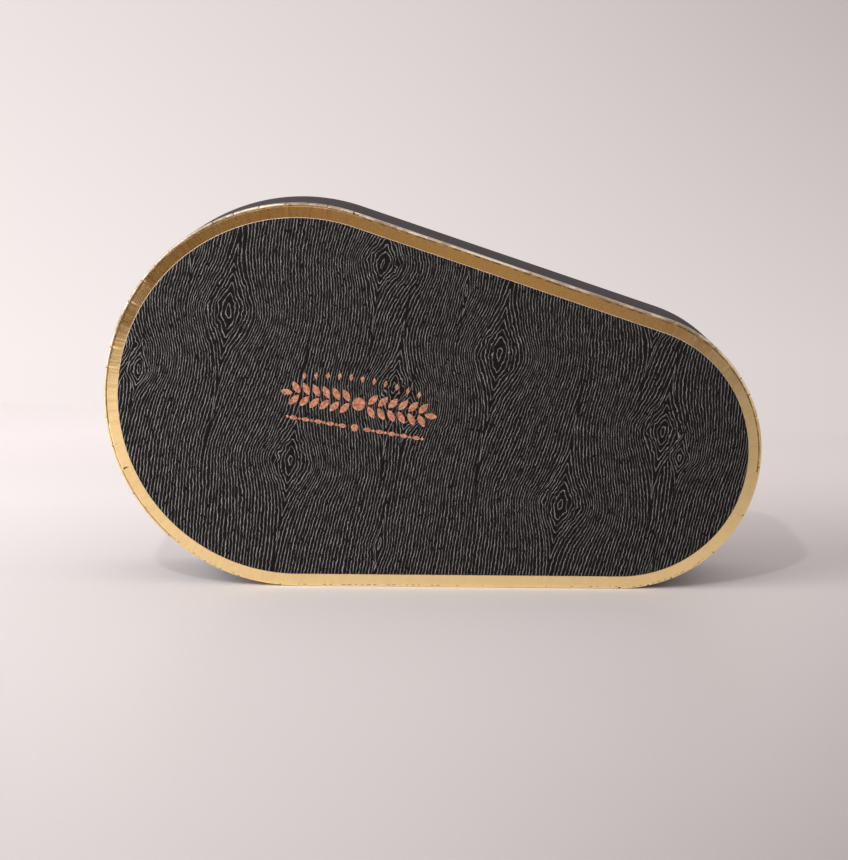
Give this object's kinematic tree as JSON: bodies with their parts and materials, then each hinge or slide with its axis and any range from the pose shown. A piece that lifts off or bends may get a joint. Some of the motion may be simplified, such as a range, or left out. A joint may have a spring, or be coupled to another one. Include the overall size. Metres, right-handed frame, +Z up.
{
  "type": "chocolate box",
  "caption": "Rigid paperboard chocolate box with an egg-shaped outline, standing on its flat side: lift-off lid with a raised wood-grain face in a gold border, over a divided base.",
  "frame": {"origin": "middle of the foot: centre of the box's length and depth, on the surface that the flat side stands on", "axes": "+X along the flat side from the large round end to the small one, +Y from the lid's face to the base's underside, +Z up"},
  "size_m": [0.239, 0.051, 0.14],
  "materials": {
    "grain_paper": "matt, embossed",
    "gold_foil_paper": "mirror foil",
    "dark_wall_paper": "matt",
    "lining_paper": "matt",
    "divider_card": "satin",
    "grey_board": "raw"
  },
  "bodies": {
    "base": {"base_bottom_board": "grey_board", "base_wall_board": "grey_board", "base_wall_paper": "dark_wall_paper", "base_bottom_paper": "dark_wall_paper", "base_bottom_lining": "lining_paper", "base_wall_lining": "lining_paper", "long_divider_1": "divider_card", "long_divider_2": "divider_card", "long_divider_3": "divider_card", "cross_divider_1": "divider_card", "cross_divider_2": "divider_card", "cross_divider_3": "divider_card", "cross_divider_4": "divider_card", "cross_divider_5": "divider_card", "cross_divider_6": "divider_card"},
    "lid": {"lid_grain_panel": "grain_paper", "lid_gold_cover": "gold_foil_paper", "lid_top_board": "grey_board", "lid_wall_board": "grey_board", "lid_wall_paper": "dark_wall_paper", "lid_top_lining": "lining_paper", "lid_wall_lining": "lining_paper"}
  },
  "joints": [
    {"name": "lid_slide", "type": "slide", "parent": "base", "child": "lid", "axis": [0, -1, 0], "range_m": [0, 0.15]}
  ]
}
